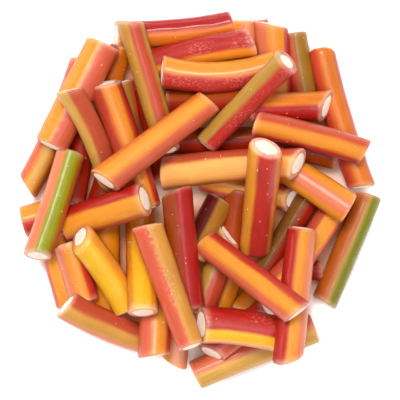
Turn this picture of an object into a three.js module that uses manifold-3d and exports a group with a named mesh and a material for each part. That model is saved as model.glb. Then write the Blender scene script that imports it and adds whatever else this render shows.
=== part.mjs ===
// A round heap of chopped licorice: soft striped sticks with a pale filling, cut to finger lengths
// and tipped out in a pile a few sticks deep. Millimetres, +Z up, the origin on the ground below
// the middle of the heap.
import * as THREE from "three";
import { mergeVertices } from "three/addons/utils/BufferGeometryUtils.js";
import Module from "manifold-3d";

// Driving dimensions
const STICK_DIAMETER = 10;
const STICK_SIDES = 10;
const STICK_RINGS = 5;
const CAMERA_HEIGHT = 600;
const CORE_RADIUS = 28;
const CORE_HEIGHT = 9;
const CORE_SIDES = 16;
const STEEPEST_CUT = 0.85;
const GROUND_WIDTH = 400;
const GROUND_DEPTH = 20;

// How the photograph is measured: a common stick's width in pixels, and the pixel below the camera
const STICK_PIXELS = 29.5;
const PHOTO_MIDDLE = 200;
const GROUND_SCALE = STICK_DIAMETER / STICK_PIXELS;

// Soft sticks press into each other, so two of them lie a little closer than their radii, and the
// lowest ones are pressed a little flat on the ground
const PRESS = 0.88;
const GROUND_PRESS = 0.2;
const SETTLE_STEPS = 30;
const SETTLE_ROUNDS = 4;

// The sticks lie from their lower or left end to their upper or right end, in pixels of the
// photograph. wide is a stick's width at each end and bow how far its middle bulges to the left of
// that direction, in pixels too. cuts says how open each cut looks from above, as its seen depth
// over its width, and is negative where the cut looks down. slants says how far each cut's right
// side runs on past its left side, over its width. These ones show only in the gaps between the
// others, and lie flat on the ground below them.
const GAP_STICKS = [
  { name: "deep_left", from: [166, 178], to: [146, 86], wide: [26, 26], bow: 0,
    cuts: [0, 0], slants: [0, 0] },
  { name: "deep_lower", from: [90, 232], to: [118, 150], wide: [27, 27], bow: 0,
    cuts: [0, 0], slants: [0, 0] },
  { name: "behind_broad", from: [106, 92], to: [122, 47], wide: [25, 25], bow: 0,
    cuts: [0, 0], slants: [0, 0] },
  { name: "top_behind", from: [259, 90], to: [258, 19], wide: [22, 22], bow: 0,
    cuts: [0, 0.25], slants: [0, 0] },
  { name: "deep_middle", from: [203, 310], to: [208, 235], wide: [27, 27], bow: 0,
    cuts: [0, 0], slants: [0, 0] },
  { name: "deep_yellow", from: [141, 290], to: [140, 203], wide: [30, 30], bow: 0,
    cuts: [0, 0], slants: [0, 0] },
  { name: "deep_centre", from: [226, 262], to: [240, 190], wide: [28, 28], bow: 0,
    cuts: [0, 0], slants: [0, 0] },
];

// The other sticks from the lowest to the highest
const STICKS = [
  { name: "left_rear", from: [27.5, 187], to: [84, 59], wide: [26, 28], bow: -4,
    cuts: [0, 0], slants: [-0.5, 0.15] },
  { name: "top_crimson", from: [116, 34], to: [234, 24], wide: [27, 28], bow: -3.5,
    cuts: [0.25, 0.05], slants: [0.1, 0.15] },
  { name: "top_pale", from: [246, 110], to: [247, 20], wide: [27, 27], bow: 0,
    cuts: [0, 0.15], slants: [0, 0] },
  { name: "top_olive", from: [311, 137], to: [294, 33], wide: [27, 26], bow: 0,
    cuts: [0, 0], slants: [0, 0] },
  { name: "right_tall", from: [362, 187], to: [321, 50], wide: [28, 28], bow: 3,
    cuts: [0.1, -0.25], slants: [-0.25, -0.1] },
  { name: "left_under", from: [72, 203], to: [88, 110], wide: [27, 27], bow: 0,
    cuts: [0, 0], slants: [0, 0] },
  { name: "behind_salmon", from: [136, 175], to: [121, 82], wide: [26, 26], bow: 0,
    cuts: [0, 0.15], slants: [0, 0.1] },
  { name: "under_upper", from: [165, 102], to: [250, 100], wide: [28, 28], bow: 0,
    cuts: [0, 0], slants: [0, 0] },
  { name: "under_middle", from: [168, 141], to: [262, 140], wide: [27, 27], bow: 0,
    cuts: [0, 0], slants: [0, 0] },
  { name: "left_small", from: [23, 222], to: [67, 211], wide: [33, 33], bow: 0,
    cuts: [0, 0], slants: [0, 0] },
  { name: "left_orange", from: [70, 306], to: [51, 236], wide: [28, 28], bow: 0,
    cuts: [0, 0], slants: [0, 0] },
  { name: "ochre_under", from: [106, 318], to: [106, 225], wide: [29, 29], bow: 0,
    cuts: [0, 0], slants: [0, 0] },
  { name: "crimson_tip", from: [284, 266], to: [322, 271], wide: [26, 21], bow: 0,
    cuts: [0, 0], slants: [0, 0.3] },
  { name: "bottom_pale", from: [174.5, 363], to: [177, 285], wide: [26, 28], bow: 0,
    cuts: [-0.2, 0], slants: [-0.5, 0] },
  { name: "bottom_long", from: [195, 375.5], to: [315, 328], wide: [31, 31], bow: 1,
    cuts: [0, 0], slants: [0.05, 0] },
  { name: "ochre_slant", from: [214, 318], to: [240, 256], wide: [27, 27], bow: 0,
    cuts: [0, 0], slants: [0, 0] },
  { name: "olive_low", from: [200, 314], to: [229, 235], wide: [28, 28], bow: 0,
    cuts: [0, 0.3], slants: [0, -0.6] },
  { name: "ochre_cross", from: [242, 314], to: [262, 287], wide: [28, 28], bow: 0,
    cuts: [0, 0], slants: [0, 0] },
  { name: "bottom_white", from: [211, 353], to: [268, 309], wide: [29, 27], bow: 0,
    cuts: [0.42, 0.3], slants: [0.4, 0] },
  { name: "dark_right", from: [255, 287], to: [313, 191], wide: [25, 26], bow: 0,
    cuts: [0, 0], slants: [0, 0] },
  { name: "under_long", from: [258, 138], to: [337, 157], wide: [27, 27], bow: 0,
    cuts: [0, 0], slants: [0, 0] },
  { name: "right_green", from: [324, 303], to: [369, 195], wide: [27, 27], bow: 0,
    cuts: [0.08, -0.1], slants: [-0.15, 0.12] },
  { name: "left_broad", from: [51, 146], to: [103.5, 44], wide: [35, 36], bow: 0,
    cuts: [0.14, -0.05], slants: [0.05, 0.05] },
  { name: "top_salmon", from: [277, 115], to: [271, 24], wide: [34, 34], bow: 0,
    cuts: [0, 0.15], slants: [0, -0.3] },
  { name: "glossy_crimson", from: [152, 64], to: [251, 43], wide: [30, 30], bow: 2,
    cuts: [0, -0.2], slants: [0, 0.32] },
  { name: "tall_olive", from: [168, 151], to: [130, 22], wide: [26, 26], bow: 0,
    cuts: [0.3, 0.05], slants: [0, -0.28] },
  { name: "gold_coral", from: [112, 192], to: [69, 90], wide: [25, 26], bow: -5,
    cuts: [0, 0.12], slants: [0, -0.42] },
  { name: "salmon_amber", from: [147, 209], to: [103.5, 83], wide: [30, 35], bow: -1.5,
    cuts: [0.08, 0.22], slants: [0, -0.2] },
  { name: "left_pink", from: [85, 302], to: [68, 243], wide: [30, 30], bow: 0,
    cuts: [0, 0], slants: [0, 0] },
  { name: "curved_amber", from: [270, 290], to: [340, 195], wide: [28, 28], bow: -6,
    cuts: [0, 0], slants: [0, 0] },
  { name: "wine_short", from: [192, 256], to: [220.5, 199.5], wide: [31, 29], bow: 0,
    cuts: [0, -0.1], slants: [0, -0.1] },
  { name: "crimson_glow", from: [190, 309], to: [177, 192], wide: [32, 32], bow: 1,
    cuts: [0, -0.2], slants: [0, 0.3] },
  { name: "small_round", from: [202, 178], to: [292, 200], wide: [27, 27], bow: 0,
    cuts: [0, 0.62], slants: [0, 0] },
  { name: "amber_white", from: [250, 108], to: [327, 106], wide: [30, 30], bow: 0,
    cuts: [0, 0.38], slants: [0, -0.4] },
  { name: "amber_smile", from: [162, 71], to: [277, 65], wide: [32, 31], bow: -9,
    cuts: [0.1, 0], slants: [0.2, 0] },
  { name: "long_right", from: [256, 124], to: [365, 152.5], wide: [27, 28], bow: 2,
    cuts: [-0.2, 0], slants: [-0.15, -0.22] },
  { name: "salmon_right", from: [272, 158], to: [349, 209], wide: [31, 33], bow: 0,
    cuts: [0, 0], slants: [0, 0.07] },
  { name: "red_left", from: [62, 225], to: [145, 199], wide: [34, 35], bow: 0,
    cuts: [0, 0.3], slants: [0, 0] },
  { name: "yellow_left", from: [129, 311], to: [80, 237], wide: [30, 31], bow: -3,
    cuts: [0, 0.6], slants: [0, 0.3] },
  { name: "bottom_left", from: [66, 305], to: [151, 341.5], wide: [31, 30], bow: -2.7,
    cuts: [0.22, 0], slants: [-0.15, 0] },
  { name: "coral_stub", from: [154, 356], to: [157, 285], wide: [33, 33], bow: 0,
    cuts: [0.1, 0], slants: [0.2, 0] },
  { name: "yellow_down", from: [143, 313], to: [141, 240], wide: [31, 31], bow: 0,
    cuts: [0.35, 0], slants: [0, 0] },
  { name: "green_left", from: [37, 256], to: [71, 153], wide: [29, 30], bow: -1,
    cuts: [0.38, -0.25], slants: [0.2, 0] },
  { name: "olive_crimson", from: [205, 145], to: [287, 61], wide: [25, 27], bow: 0,
    cuts: [0, 0.5], slants: [0.1, -0.1] },
  { name: "big_amber", from: [104, 181], to: [210, 101], wide: [33, 29], bow: 0,
    cuts: [0.28, -0.05], slants: [0.3, 0.2] },
  { name: "middle_yellow", from: [163, 174], to: [298, 164], wide: [35, 31], bow: 3,
    cuts: [-0.2, 0.45], slants: [-0.15, -0.4] },
  { name: "coral_gold", from: [191, 347], to: [147, 226], wide: [27, 33], bow: 0,
    cuts: [0.25, -0.1], slants: [0, -0.15] },
  { name: "crimson_yellow", from: [201, 325], to: [298, 340], wide: [38, 36], bow: 4,
    cuts: [0.3, 0], slants: [0, 0] },
  { name: "lower_right", from: [288, 359.5], to: [302, 228], wide: [31, 31], bow: 0,
    cuts: [-0.25, 0.06], slants: [0.42, 0] },
  { name: "amber_slant", from: [204, 241], to: [298, 313], wide: [29, 31], bow: 0,
    cuts: [-0.25, 0.2], slants: [-0.2, -0.3] },
  { name: "front_red", from: [255, 252], to: [266, 147], wide: [33, 35], bow: 0,
    cuts: [-0.45, 0.6], slants: [0, -0.3] },
];

// The plan place, in millimetres, of a pixel seen at a height above the ground
function planPoint([x, y], height) {
  const scale = GROUND_SCALE * (1 - height / CAMERA_HEIGHT);
  return new THREE.Vector2((x - PHOTO_MIDDLE) * scale, (PHOTO_MIDDLE - y) * scale);
}

// A stick's centre line for given end heights: a chord that bulges sideways, and its radius along it
function centreLine(stick, heights) {
  const start = planPoint(stick.from, heights[0]);
  const finish = planPoint(stick.to, heights[1]);
  const along = finish.clone().sub(start).normalize();
  const left = new THREE.Vector2(-along.y, along.x);
  const middleHeight = (heights[0] + heights[1]) / 2;
  const scale = GROUND_SCALE * (1 - middleHeight / CAMERA_HEIGHT);
  const pointAt = (t) => {
    const bulge = stick.bow * scale * 4 * t * (1 - t);
    const plan = start.clone().lerp(finish, t).addScaledVector(left, bulge);
    return new THREE.Vector3(plan.x, plan.y, heights[0] + (heights[1] - heights[0]) * t);
  };
  const radiusAt = (t) => (THREE.MathUtils.lerp(stick.wide[0], stick.wide[1], t) * scale) / 2;
  return { pointAt, radiusAt, length: pointAt(0).distanceTo(pointAt(1)) };
}

// A ball that fills the stick at the share t of its length
function ballAt(line, t) {
  return { centre: line.pointAt(t), radius: line.radiusAt(t) };
}

// The lowest height at which a ball clears the ground and what lies there
function liftOver({ centre, radius }, laid) {
  let lift = radius;
  for (const other of laid.flatMap((item) => item.balls)) {
    const reach = (radius + other.radius) * PRESS;
    const apart = Math.hypot(centre.x - other.centre.x, centre.y - other.centre.y);
    if (apart < reach) {
      lift = Math.max(lift, other.centre.z + Math.sqrt(reach * reach - apart * apart));
    }
  }
  return lift;
}

// A straight stick's end heights when it lies on two supports, one each side of its middle. Each
// support says how high the centre line must be at one place along it, from 0 to 1.
function restingHeights(supports) {
  const before = supports.filter((support) => support.t <= 0.5);
  const after = supports.filter((support) => support.t > 0.5);
  let best = { middle: -Infinity, heights: [0, 0] };
  for (const a of before) {
    for (const b of after) {
      const slope = (b.lift - a.lift) / (b.t - a.t);
      const middle = a.lift + slope * (0.5 - a.t);
      if (middle > best.middle) {
        best = { middle, heights: [middle - slope / 2, middle + slope / 2] };
      }
    }
  }
  return best.heights;
}

// Lays one stick on the sticks below it. Its balls stay a radius inside its ends, which are on the
// ground at the lowest.
function lay(stick, laid) {
  let line = centreLine(stick, [STICK_DIAMETER / 2, STICK_DIAMETER / 2]);
  const first = line.radiusAt(0) / line.length;
  const last = 1 - line.radiusAt(1) / line.length;
  const places = Array.from({ length: SETTLE_STEPS + 1 }, (_, i) => {
    return THREE.MathUtils.lerp(first, last, i / SETTLE_STEPS);
  });
  for (let round = 0; round < SETTLE_ROUNDS; round += 1) {
    const supports = places.map((t) => ({ t, lift: liftOver(ballAt(line, t), laid) }));
    supports.push({ t: 0, lift: line.radiusAt(0) }, { t: 1, lift: line.radiusAt(1) });
    line = centreLine(stick, restingHeights(supports));
  }
  return { stick, line, balls: places.map((t) => ballAt(line, t)) };
}

// How far each cut leans along the stick, up its section and across it. How far up comes from how
// open the cut looks and how steeply the stick lies.
function cutLeans({ stick, line }) {
  const rise = (line.pointAt(1).z - line.pointAt(0).z) / line.length;
  const level = Math.sqrt(1 - rise * rise);
  const limited = (lean) => THREE.MathUtils.clamp(lean / level, -STEEPEST_CUT, STEEPEST_CUT);
  return [
    { up: limited(stick.cuts[0] + rise), across: stick.slants[0] },
    { up: limited(rise - stick.cuts[1]), across: stick.slants[1] },
  ];
}

// A stick's closed surface: rings round its centre line, with leaning flat ends
function stickGeometry(item) {
  const line = item.line;
  const square = { up: 0, across: 0 };
  const [firstLean, lastLean] = cutLeans(item);
  const leans = [firstLean, ...Array(STICK_RINGS - 2).fill(square), lastLean];
  const positions = [];
  const indices = [];
  for (let ring = 0; ring < STICK_RINGS; ring += 1) {
    const t = ring / (STICK_RINGS - 1);
    const centre = line.pointAt(t);
    const along = line.pointAt(Math.min(t + 0.01, 1)).sub(line.pointAt(Math.max(t - 0.01, 0)));
    along.normalize();
    const right = new THREE.Vector3(along.y, -along.x, 0).normalize();
    const up = right.clone().cross(along);
    const lean = leans[ring];
    for (let side = 0; side < STICK_SIDES; side += 1) {
      const angle = (side / STICK_SIDES) * 2 * Math.PI;
      const across = line.radiusAt(t) * Math.sin(angle);
      const rise = line.radiusAt(t) * Math.cos(angle);
      const point = centre.clone().addScaledVector(right, across).addScaledVector(up, rise);
      point.addScaledVector(along, lean.up * rise + lean.across * across);
      positions.push(point.x, point.y, point.z);
    }
  }
  const at = (ring, side) => ring * STICK_SIDES + (side % STICK_SIDES);
  for (let ring = 0; ring < STICK_RINGS - 1; ring += 1) {
    for (let side = 0; side < STICK_SIDES; side += 1) {
      indices.push(at(ring, side), at(ring + 1, side + 1), at(ring + 1, side));
      indices.push(at(ring, side), at(ring, side + 1), at(ring + 1, side + 1));
    }
  }
  const last = STICK_RINGS - 1;
  for (let side = 1; side < STICK_SIDES - 1; side += 1) {
    indices.push(at(0, 0), at(0, side + 1), at(0, side));
    indices.push(at(last, 0), at(last, side), at(last, side + 1));
  }
  const geometry = new THREE.BufferGeometry();
  geometry.setAttribute("position", new THREE.Float32BufferAttribute(positions, 3));
  geometry.setIndex(indices);
  return geometry;
}

// The low flat-bottomed mound below the middle of the heap, which every stick above it rests over
function coreGeometry() {
  const profile = [
    new THREE.Vector2(0, 0),
    new THREE.Vector2(CORE_RADIUS, 0),
    new THREE.Vector2(CORE_RADIUS * 0.92, CORE_HEIGHT * 0.5),
    new THREE.Vector2(CORE_RADIUS * 0.6, CORE_HEIGHT * 0.9),
    new THREE.Vector2(0, CORE_HEIGHT),
  ];
  const lathe = new THREE.LatheGeometry(profile, CORE_SIDES);
  lathe.rotateX(Math.PI / 2);
  return lathe;
}

const wasm = await Module();
wasm.setup();

// A closed three.js geometry as a solid that can be joined
function solidOf(geometry) {
  geometry.deleteAttribute("normal");
  geometry.deleteAttribute("uv");
  const merged = mergeVertices(geometry, 1e-4);
  return new wasm.Manifold(new wasm.Mesh({
    numProp: 3,
    vertProperties: new Float32Array(merged.attributes.position.array),
    triVerts: new Uint32Array(merged.index.array),
  }));
}

// What lies below the flat that the ground presses on the heap
function groundGeometry() {
  const ground = new THREE.BoxGeometry(GROUND_WIDTH, GROUND_WIDTH, GROUND_DEPTH);
  ground.translate(0, 0, GROUND_PRESS - GROUND_DEPTH / 2);
  return ground;
}

// Sticks and core as one body on a flat base, without sealed hollows or loose scraps
function heapSolid(laid) {
  const solids = laid.map((item) => solidOf(stickGeometry(item)));
  const joined = wasm.Manifold.union([...solids, solidOf(coreGeometry())]);
  const bodies = joined.subtract(solidOf(groundGeometry())).decompose();
  return bodies.reduce((a, b) => (a.volume() > b.volume() ? a : b));
}

function meshOf(solid, name, material) {
  const mesh = solid.getMesh();
  const geometry = new THREE.BufferGeometry();
  geometry.setAttribute("position", new THREE.BufferAttribute(mesh.vertProperties, 3));
  geometry.setIndex(new THREE.BufferAttribute(mesh.triVerts, 1));
  geometry.computeVertexNormals();
  const result = new THREE.Mesh(geometry, material);
  result.name = name;
  return result;
}

const laid = [];
for (const stick of STICKS) {
  laid.push(lay(stick, laid));
}
laid.push(...GAP_STICKS.map((stick) => lay(stick, [])));

const licorice = new THREE.MeshStandardMaterial({ color: 0xe5723a, roughness: 0.4, metalness: 0 });
const heap = meshOf(heapSolid(laid), "licorice_heap", licorice);

// The heap stands centred on the origin
heap.geometry.computeBoundingBox();
const middle = heap.geometry.boundingBox.getCenter(new THREE.Vector3());
heap.position.set(-middle.x, -middle.y, -heap.geometry.boundingBox.min.z);

const group = new THREE.Group();
group.add(heap);
export default group;
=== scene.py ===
import math
from types import SimpleNamespace

import bpy
import numpy as np
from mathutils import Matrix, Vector


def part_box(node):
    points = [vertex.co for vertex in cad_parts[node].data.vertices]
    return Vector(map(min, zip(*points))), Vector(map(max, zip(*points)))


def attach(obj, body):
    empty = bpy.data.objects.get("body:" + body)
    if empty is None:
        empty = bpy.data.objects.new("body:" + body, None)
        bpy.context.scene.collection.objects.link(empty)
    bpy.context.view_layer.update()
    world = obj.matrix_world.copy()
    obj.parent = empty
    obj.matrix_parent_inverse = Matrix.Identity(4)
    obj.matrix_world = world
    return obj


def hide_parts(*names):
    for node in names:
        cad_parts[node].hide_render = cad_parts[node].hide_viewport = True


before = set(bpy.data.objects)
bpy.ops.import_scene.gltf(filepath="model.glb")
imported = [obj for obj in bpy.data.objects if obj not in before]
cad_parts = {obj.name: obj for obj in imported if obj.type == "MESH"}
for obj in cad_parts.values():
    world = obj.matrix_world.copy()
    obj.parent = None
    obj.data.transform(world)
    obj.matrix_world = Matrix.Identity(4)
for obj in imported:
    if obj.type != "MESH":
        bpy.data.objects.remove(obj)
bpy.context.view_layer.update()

# The layout is worked out in millimetres, and the scene is in metres
MM = 0.001

# A common stick's thickness and the camera's height above the ground, in millimetres
STICK_DIAMETER = 10
CAMERA_HEIGHT = 600

# The photograph's width, a common stick's width in it and the place below the camera, in pixels, and
# the camera's sensor in millimetres
PHOTO_PIXELS = 400
STICK_PIXELS = 29.5
PHOTO_MIDDLE = 200
GROUND_SCALE = STICK_DIAMETER / STICK_PIXELS
SENSOR_WIDTH = 36

# Soft sticks press into each other, so two of them lie a little closer than their radii, and the
# lowest ones are pressed a little flat on the ground
PRESS = 0.88
GROUND_PRESS = 0.2
SETTLE_STEPS = 30
SETTLE_ROUNDS = 4

# A coat's share of its stick's radius, a plug of filling's share of the coat's, the corners round
# each, and the millimetres between a coat's rings
COAT_SHARE = 0.98
FILLING_SHARE = 0.68
SIDES = 52
PLUG_SIDES = 28
RING_STEP = 0.65

# A coat's rounded rim in millimetres, and its steps. Inside the rim the coat is LIP thick, runs in
# over its cut face, and closes behind the filling's edge: how deep, and how far past that edge.
RIM = 0.75
RIM_STEPS = 7
LIP = 0.35
FACE_DEPTH = 0.03
CLOSING = ((0.1, -0.12), (0.2, 0.15), (0.3, 0.6))

# The steepest lean of a cut, how far its lean and its flare reach from the end, in millimetres, and
# how soon the lean fades out
STEEPEST_CUT = 0.85
LEAN_REACH = 12
LEAN_FADE = 1.6
FLARE_REACH = 7

# The step from which a centre line's direction is taken, as a share of its length
TANGENT_STEP = 0.01

# How many waves make up each unevenness, and the shortest of them as a share of the longest
WAVES = 7
SHORTEST_WAVE = 0.35

# A coat's unevenness: the longest wave along the stick in millimetres, the most waves round it, and
# the height, as a share of the radius for the swells and in millimetres for the ripples
SWELLS = (34, 2, 0.011)
RIPPLES = (9, 5, 0.022)

# The groove where two stripes meet, in millimetres, and how it drifts: its longest wave along the
# stick in millimetres and its reach round the stick in radians
GROOVE_DEPTH = 0.13
GROOVE_WIDTH = 0.7
GROOVE_DRIFT = (40, 0.05)

# The under stripe starts at this distance round the stick from its top, in millimetres
UNDER_ARC = 10.2

# A fold is a crease with a ridge beside it, which drifts and turns round the stick, in radians, and
# is deepest in the middle. Its widths and the ridge's place are in millimetres.
FOLD_DRIFT = (30, 0.12)
FOLD_TURN = 0.14
FOLD_SWELL = 1.2
FOLD_LEAST = 0.25
CREASE_WIDTH = 0.42
RIDGE_HEIGHT = 0.6
RIDGE_PLACE = 0.95
RIDGE_WIDTH = 0.6

# How soon a coat's relief fades out over its rim
RELIEF_FADE = 2.2

# The coats read their patterns this many millimetres apart, so that no two are alike
PATTERN_STEP = 100

# How pale a cut rim is, and how far its paleness reaches along the stick in millimetres
PALE_SHARES = (0.15, 0.5)
PALE_REACHES = (0.8, 3.0)
PALE_FADE = 1.5

# A plug of filling from the middle of its face to its hidden back: each ring's share of the plug's
# radius and its depth behind the cut in millimetres, which is negative where it stands out
PLUG_RINGS = ((0.06, -0.14), (0.3, -0.13), (0.55, -0.11), (0.78, -0.07),
              (0.95, -0.02), (1.04, 0.06), (1.06, 0.5), (0.9, 0.9))

# How uneven a plug is: two kinds of waves, each with its share of the radius and the most of them
# round the plug, how far the plug lies aside, and its face's roughness in millimetres
PLUG_WAVES = ((0.08, 4), (0.03, 9))
PLUG_WAVE_LENGTH = 20
PLUG_ASIDE = 0.07
PLUG_ROUGHNESS = 0.035

# What the random numbers of the coats, the fillings and the sugar start from
COAT_SEED = 1000
FILLING_SEED = 5000
SUGAR_SEED = 77

# How much a stripe differs from its named colour, in lightness and in hue
LIGHTNESS_SPREAD = 0.05
HUE_SPREAD = 0.04

# A coat has three stripes seen from above and one below. Where it has fewer colours, its borders lie
# out at the side, in degrees round the stick from its top.
BANDS = 4
FAR_BORDERS = (80, 85)

# A coat is painted with shade down its sides, darker between these distances round the stick from its
# top
SIDE_SHADE_ARC = (4.8, 7.6)
SIDE_SHADE_TINT = (0.86, 0.62, 0.52, 1)

# A cut coat is thin at its rim and pale there
PALE_RIM = (0.9, 0.66, 0.5, 1)

# Where a coat is scaly it carries painted glints, pale specks of painted highlight: their colour, and
# the degrees over which the scales and glints fade out
GLINT_COLOUR = (1.0, 0.6, 0.46, 1)
SCALE_AND_GLINT_FADE = 18

# Patterns on a coat: the grains to the millimetre round the stick and along it, the levels of detail,
# two of the pattern's numbers with what those two become, and its roughness where it isn't common
WAVER = ((0.05, 0.05, 1), 1, (0, 1, -0.7, 0.7))
TEARS = ((0.5, 0.9, 1), 3, (0, 1, -1.3, 1.3))
SOFTNESS = ((0.0, 0.06, 1), 1, (0.3, 0.7, 0.5, 1.3))
STREAKS = ((0.9, 0.06, 1), 4, (0.2, 0.8, 0.9, 1.07), 0.6)
SCALE_AND_GLINT_PATCHES = ((0.05, 0.07, 1), 1, (0.42, 0.62, 0, 1))
GLINT_SHARES = ((1.5, 0.9, 1), 3, (0.5, 0.62, 0, 0.3), 0.7)

# Patterns in space: the grains to the millimetre, the levels of detail, and the numbers as above
CLOUDS = (0.14, 2, (0.25, 0.75, 0.93, 1.05))
RIM_PATCHES = (0.9, 2, (0.3, 0.7, 0.6, 1.3))
COAT_ROUGHNESS = (0.5, 3, (0.3, 0.7, 0.42, 0.56))
FILLING_WAVER = (1.1, 2, (0, 1, -0.25, 0.25))
SUGAR_PATCHES = (0.4, 2, (0.3, 0.7, 0, 1))
FLOOR_TONES = (0.02, 2, (0.3, 0.7, 0.86, 0.88))

# Plain noise of both kinds
RIPPLE_NOISE = ((1.3, 0.1, 1), 3)
SCALE_NOISE = (3.2, 3)
PORE_NOISE = (11.0, 2)
FILLING_NOISE = (0.9, 4)
CRUMB_NOISE = (1.7, 4)

# The same for how ragged a coat is, how scaly it is, the filling's noise and a place on a plug: two of
# the numbers with what they become
RAGGED_TEARS = (0, 1, 0.1, 1)
RAGGED_SOFTNESS = (0, 1, 1, 0.45)
SCALE_STRENGTHS = (0, 1, 0.1, 0.75)
FILLING_PATCHES = (0.35, 0.65, 0, 1)
FILLING_ROUGHNESS = (0.3, 0.7, 0.5, 0.7)
FILLING_EDGE_SHARES = (0.82, 1.08, 0, 0.75)

# Fine relief: how strong it is, and its height in metres
RIPPLE_RELIEF = (0.35, 0.0004)
SCALE_HEIGHT = 0.0004
PORE_RELIEF = (0.1, 0.00015)
CRUMB_RELIEF = (0.7, 0.0005)

# How a coat shines, where its kind's gloss is 1
COAT_GLOSS = 0.3
COAT_SPECULAR = 0.28

# How light goes into the coats, the filling and the sugar, and the painted glow that the filling gives
# off, which lifts it where it lies in shade
COAT_LIGHT = {
    "Subsurface_Weight": 0.55, "Subsurface_Radius": (1.0, 0.42, 0.2), "Subsurface_Scale": 0.002,
}
FILLING_LIGHT_AND_GLOW = {
    "Subsurface_Weight": 0.3, "Subsurface_Radius": (1.0, 0.7, 0.5), "Subsurface_Scale": 0.001,
    "Emission_Color": (0.96, 0.78, 0.65, 1), "Emission_Strength": 0.36,
}
SUGAR_LIGHT = {"Roughness": 0.3, "Subsurface_Weight": 0.4, "Subsurface_Scale": 0.0005}

# The filling's two tones, which it mixes in patches, and its colour where it meets the coat
FILLING_TONES = ((0.58, 0.46, 0.36, 1), (0.70, 0.62, 0.52, 1))
FILLING_EDGE = (0.66, 0.36, 0.22, 1)

# The sugar's two tones
SUGAR_TONES = ((0.95, 0.72, 0.5, 1), (0.97, 0.9, 0.82, 1))

# Grains of sugar on the coats: how many, their smallest and largest radius in millimetres, and the
# corners round each, with the width and height of its two rings of them as shares of its radius
GRAINS = 170
GRAIN_RADII = (0.11, 0.23)
GRAIN_SIDES = 6
GRAIN_RING = (0.87, 0.5)

# How far grains keep from a stick's ends in millimetres, how many radians from its top they lie at
# most, and the shares between which their corners and their widths differ
GRAIN_INSET = 1.5
GRAIN_TURN = 1.1
GRAIN_CORNERS = (0.75, 1.2)
GRAIN_WIDTHS = (0.7, 1.1)

# The floor is fine near the heap: how far its fine part reaches and where its coarse part ends, in
# millimetres, and over how many millimetres the heap's cover of it is smoothed
FLOOR_FINE = 90
FLOOR_COARSE = (400, 2500)
COVER_BLUR = 5
BLUR_REACH = 3

# Under the heap the floor is painted with shade and with the candy's coloured bounce light: each colour
# and the shares of cover between which it comes in. It gives off light, fully where it is free and a
# fifth under the heap, which paints more shade there.
PAINTED_HEAP_SHADE = (((0.80, 0.62, 0.50, 1), 0.35, 0.7), ((0.52, 0.19, 0.09, 1), 0.62, 0.9))
FLOOR_LIT = (0.55, 0.3, 0.2, 1)
FLOOR_LIGHT = 0.6
FLOOR_ROUGHNESS = 0.7

# The lamps: each one's place, its width and height in metres, and its power in watts
LAMPS = {
    "overhead": ((-0.12, 0.34, 1.0), (0.4, 0.3), 10.8),
    "top_fill": ((0.2, -0.2, 1.1), (0.7, 0.7), 4.6),
    "left_window": ((-1.1, 0.7, 0.22), (0.25, 0.9), 2.5),
}
STUDIO_LIGHT = 0.4

WHITE = (1, 1, 1, 1)
BLACK = (0, 0, 0, 1)

# Which of a mixing node's sockets take and give colours
MIX_COLOURS = (6, 7)
MIX_RESULT = 2

# The licorice's colours, as red, green and blue from 0 to 255. wine, umber, ochre and khaki are painted
# shade: darker copies of the candy's colours for sticks that lie in the heap's shade
COLOURS = {
    "amber": (219, 139, 38),
    "yellow": (234, 176, 36),
    "honey": (234, 164, 88),
    "orange": (206, 112, 34),
    "gold": (198, 144, 62),
    "olive": (178, 132, 52),
    "moss": (150, 104, 22),
    "green": (142, 140, 4),
    "coral": (202, 94, 62),
    "salmon": (211, 119, 81),
    "brick": (184, 74, 44),
    "crimson": (182, 42, 32),
    "cherry": (172, 26, 14),
    "wine": (146, 28, 6),
    "rust": (164, 82, 14),
    "bronze": (180, 104, 28),
    "plum": (108, 12, 16),
    "ochre": (197, 115, 12),
    "umber": (152, 58, 8),
    "khaki": (126, 76, 22),
}


# A coat's three colours, and where they meet as angles round the stick from its top, from a list such
# as "coral .3 gold .8 rust": each number is the share of the seen width at which its colour ends. A
# coat with fewer colours repeats its last one.
def read_bands(text):
    words = text.split()
    names = words[0::2]
    shares = [float(word) for word in words[1::2]]
    angles = [math.asin(2 * share - 1) for share in shares]
    while len(angles) < len(FAR_BORDERS):
        names.append(names[-1])
        angles.append(math.radians(FAR_BORDERS[len(angles)]))
    return names, angles


# One stick: its ends and its width at each end, in pixels of the photograph, its stripes and the one
# below. bow is its sideways bulge to the left, in pixels too. cuts says how open each cut looks from
# above, as its seen depth over its width, and is negative where the cut looks down. slants says how far
# each cut's right side runs on past its left side, over its width. rims says how far each end's rounded
# rim reaches, and filling is the filling's share of the coat's radius. deep makes the colours deeper
# above 1 and paler below it: on some sticks it sets their own colour, and on others it is painted shade
# on sticks that lie in shade and painted light on sticks that lie lit. flare is how much wider each end
# is. scales_and_glints says how scaly the coat is, with painted glints on its scales, and between which
# degrees round the stick, and ragged how torn its stripes' edges are. folds gives each fold's degrees
# round the stick and its depth. Rims and folds are in millimetres.
def stick(name, start, finish, wide, bands, under="amber", bow=0, cuts=(0, 0), slants=(0, 0),
          rims=(RIM, RIM), filling=FILLING_SHARE, deep=1.0, flare=(0, 0), scales_and_glints=(0, 0, 0), ragged=0.0,
          folds=()):
    names, angles = read_bands(bands)
    return SimpleNamespace(
        name=name, start=start, finish=finish, wide=wide, bow=bow, cuts=cuts, slants=slants,
        bands=names, borders=angles, under=under, rims=rims, filling=filling, deep=deep,
        flare=flare, scales_and_glints=scales_and_glints, ragged=ragged, folds=folds,
    )


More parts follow.
